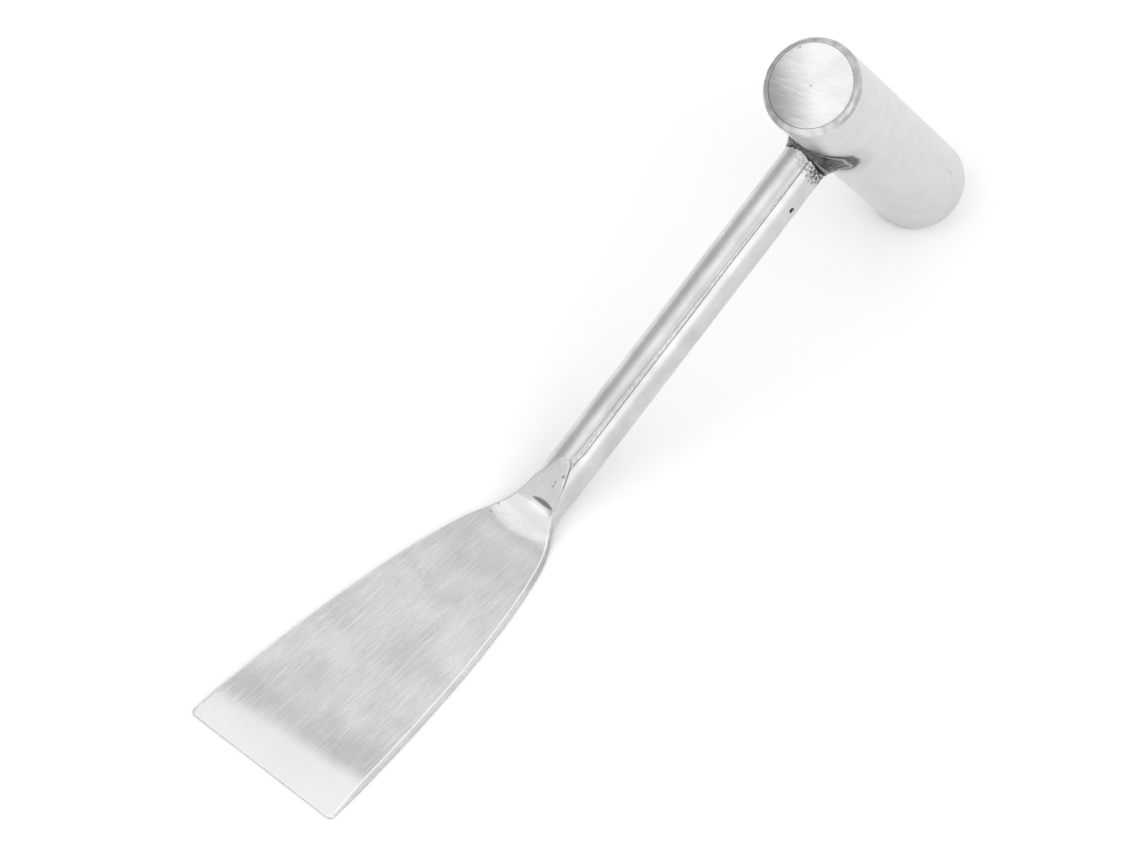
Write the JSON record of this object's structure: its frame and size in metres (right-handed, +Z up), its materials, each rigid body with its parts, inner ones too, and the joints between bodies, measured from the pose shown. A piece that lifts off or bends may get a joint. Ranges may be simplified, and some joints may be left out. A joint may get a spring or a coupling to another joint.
{
  "type": "steel mallet scraper",
  "caption": "One-piece welded steel mallet with a round barrel head across a tube handle and a wide flat scraper blade, bent off the handle's line, at the other end.",
  "frame": {"origin": "bottom centre of the bounding box of the tool lying at rest on the flat back of its blade and the rim of its rear end face", "axes": "+X from the blade's working edge towards the head along the blade's centre line, +Y across the blade, +Z up"},
  "size_m": [0.3762, 0.0696, 0.1375],
  "materials": {
    "head_steel": "satin stainless tube with soft smudges and a dull heat halo by the weld",
    "face_steel": "finely brushed stainless disc",
    "rim_steel": "weld ground round and polished",
    "handle_steel": "smooth bright stainless tube with a lengthwise seam",
    "weld_bead": "dark glossy rippled weld bead",
    "blade_steel": "stainless sheet brushed lengthwise, with fine scratches and soft stains"
  },
  "bodies": {
    "root": {"head_tube": "head_steel", "front_disc": "face_steel", "rear_disc": "face_steel", "front_rim_weld": "rim_steel", "rear_rim_weld": "rim_steel", "handle_tube": "handle_steel", "handle_weld": "weld_bead", "blade": "blade_steel", "heel_weld": "weld_bead"}
  },
  "joints": []
}
